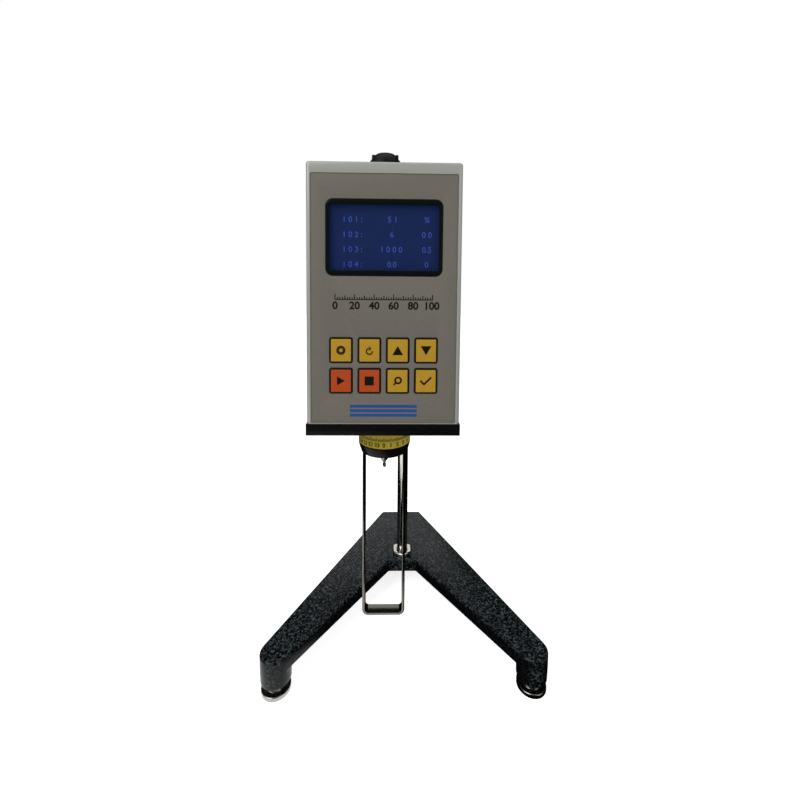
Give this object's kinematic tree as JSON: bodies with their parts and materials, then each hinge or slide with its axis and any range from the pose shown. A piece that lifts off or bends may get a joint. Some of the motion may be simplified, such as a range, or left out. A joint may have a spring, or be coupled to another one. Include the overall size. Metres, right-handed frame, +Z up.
{
  "type": "rotational viscometer",
  "caption": "Rotational viscometer: boxed head with screen, keypad, U-shaped guard and spindle coupling, on a rack-and-pinion lift, a column and a levelling base.",
  "frame": {"origin": "on the table under the feet, at the centre of the bounding box", "axes": "+Z up, the front with screen and keys faces -Y, +X to the viewer's right"},
  "size_m": [0.25, 0.2706, 0.4417],
  "materials": {
    "base_black": "hammertone paint",
    "chrome": "polished",
    "steel": "machined",
    "guard_steel": "brushed",
    "brass": "machined",
    "housing_grey": "painted satin",
    "cover_grey": "painted satin",
    "plate_black": "satin",
    "black_plastic": "fine grain",
    "overlay_grey": "satin film",
    "screen_blue": "gloss",
    "clear_window": "gloss",
    "board_green": "solder mask",
    "board_part": "moulded",
    "motor_black": "satin",
    "aluminium": "machined",
    "band_yellow": "satin film",
    "key_yellow": "satin",
    "key_red": "satin",
    "vial_green": "gloss"
  },
  "bodies": {
    "stand": {"base_casting": "base_black", "column": "chrome", "column_nuts": "chrome", "column_cap": "black_plastic"},
    "left_foot": {"foot_left": "chrome"},
    "right_foot": {"foot_right": "chrome"},
    "rear_foot": {"foot_rear": "chrome"},
    "lift": {"lift_clamp": "plate_black", "pinion_bush": "brass", "friction_shoe": "brass"},
    "head": {"housing": "housing_grey", "rear_cover": "cover_grey", "case_screws": "steel", "bottom_plate": "plate_black", "panel_overlay": "overlay_grey", "screen_frame": "black_plastic", "screen_window": "clear_window", "screen_glass": "screen_blue", "screen_board": "board_green", "keypad_board": "board_green", "main_board": "board_green", "power_board": "board_green", "back_frame": "aluminium", "frame_pillars": "steel", "motor_plate": "aluminium", "motor": "motor_black", "hub_bush": "brass", "boss_tube": "aluminium", "boss_band": "band_yellow", "guard_ring": "plate_black", "guard": "guard_steel", "lower_bearing": "brass", "phase_sensors": "board_part", "handle_rod": "chrome", "level_body": "black_plastic", "level_vial": "vial_green", "power_jack": "black_plastic", "probe_socket": "steel", "switch_body": "black_plastic"},
    "pinion": {"lift_pinion": "steel", "lift_knob": "black_plastic"},
    "tension": {"tension_screw": "black_plastic"},
    "rod_lock": {"rod_screw": "black_plastic"},
    "drive": {"drive_gear": "brass", "hub_collar": "steel", "upper_disc": "aluminium"},
    "motor_rotor": {"motor_pinion": "steel"},
    "spindle": {"hairspring": "steel", "lower_disc": "aluminium", "spindle_shaft": "steel", "rotor_coupling": "steel"},
    "rocker": {"switch_rocker": "black_plastic"},
    "button_1": {"key_1": "key_yellow"},
    "button_2": {"key_2": "key_yellow"},
    "button_3": {"key_3": "key_yellow"},
    "button_4": {"key_4": "key_yellow"},
    "button_5": {"key_5": "key_red"},
    "button_6": {"key_6": "key_red"},
    "button_7": {"key_7": "key_yellow"},
    "button_8": {"key_8": "key_yellow"}
  },
  "joints": [
    {"name": "left_foot_height", "type": "slide", "parent": "stand", "child": "left_foot", "axis": [0, 0, 1], "range_m": [-0.005, 0.004]},
    {"name": "right_foot_height", "type": "slide", "parent": "stand", "child": "right_foot", "axis": [0, 0, 1], "range_m": [-0.005, 0.004]},
    {"name": "rear_foot_height", "type": "slide", "parent": "stand", "child": "rear_foot", "axis": [0, 0, 1], "range_m": [-0.005, 0.004]},
    {"name": "lift_travel", "type": "slide", "parent": "stand", "child": "lift", "axis": [0, 0, 1], "range_m": [-0.06, 0.08]},
    {"name": "head_tilt", "type": "hinge", "parent": "lift", "child": "head", "pos_m": [-0.0185, 0.05125, 0.3], "axis": [0, 1, 0], "range_deg": [-3, 3]},
    {"name": "pinion_turn", "type": "hinge", "parent": "lift", "child": "pinion", "pos_m": [0, 0.0625, 0.316], "axis": [1, 0, 0], "range_deg": [-580, 775]},
    {"name": "tension_turn", "type": "hinge", "parent": "lift", "child": "tension", "pos_m": [0.02, 0.05125, 0.29], "axis": [1, 0, 0], "range_deg": [-90, 270]},
    {"name": "rod_lock_turn", "type": "hinge", "parent": "lift", "child": "rod_lock", "pos_m": [-0.04, 0.05125, 0.3], "axis": [-1, 0, 0], "range_deg": [-30, 330]},
    {"name": "drive_turn", "type": "hinge", "parent": "head", "child": "drive", "pos_m": [-0.0185, -0.08875, 0.343], "axis": [0, 0, 1], "continuous": true},
    {"name": "motor_turn", "type": "hinge", "parent": "head", "child": "motor_rotor", "pos_m": [-0.0185, -0.06175, 0.343], "axis": [0, 0, 1], "continuous": true},
    {"name": "spindle_turn", "type": "hinge", "parent": "head", "child": "spindle", "pos_m": [-0.0185, -0.08875, 0.21], "axis": [0, 0, 1], "continuous": true},
    {"name": "rocker_tip", "type": "hinge", "parent": "head", "child": "rocker", "pos_m": [-0.0485, -0.02505, 0.37], "axis": [1, 0, 0], "range_deg": [-18, 0]},
    {"name": "button_1_press", "type": "slide", "parent": "head", "child": "button_1", "axis": [0, 1, 0], "range_m": [0, 0.0004], "stiffness_N_per_m": 5000},
    {"name": "button_2_press", "type": "slide", "parent": "head", "child": "button_2", "axis": [0, 1, 0], "range_m": [0, 0.0004], "stiffness_N_per_m": 5000},
    {"name": "button_3_press", "type": "slide", "parent": "head", "child": "button_3", "axis": [0, 1, 0], "range_m": [0, 0.0004], "stiffness_N_per_m": 5000},
    {"name": "button_4_press", "type": "slide", "parent": "head", "child": "button_4", "axis": [0, 1, 0], "range_m": [0, 0.0004], "stiffness_N_per_m": 5000},
    {"name": "button_5_press", "type": "slide", "parent": "head", "child": "button_5", "axis": [0, 1, 0], "range_m": [0, 0.0004], "stiffness_N_per_m": 5000},
    {"name": "button_6_press", "type": "slide", "parent": "head", "child": "button_6", "axis": [0, 1, 0], "range_m": [0, 0.0004], "stiffness_N_per_m": 5000},
    {"name": "button_7_press", "type": "slide", "parent": "head", "child": "button_7", "axis": [0, 1, 0], "range_m": [0, 0.0004], "stiffness_N_per_m": 5000},
    {"name": "button_8_press", "type": "slide", "parent": "head", "child": "button_8", "axis": [0, 1, 0], "range_m": [0, 0.0004], "stiffness_N_per_m": 5000}
  ],
  "couplings": [
    {"joint": "pinion_turn", "follows": "lift_travel", "rad_per_m": 168.07},
    {"joint": "motor_turn", "follows": "drive_turn", "ratio": -4},
    {"joint": "spindle_turn", "follows": "drive_turn", "ratio": 1}
  ]
}
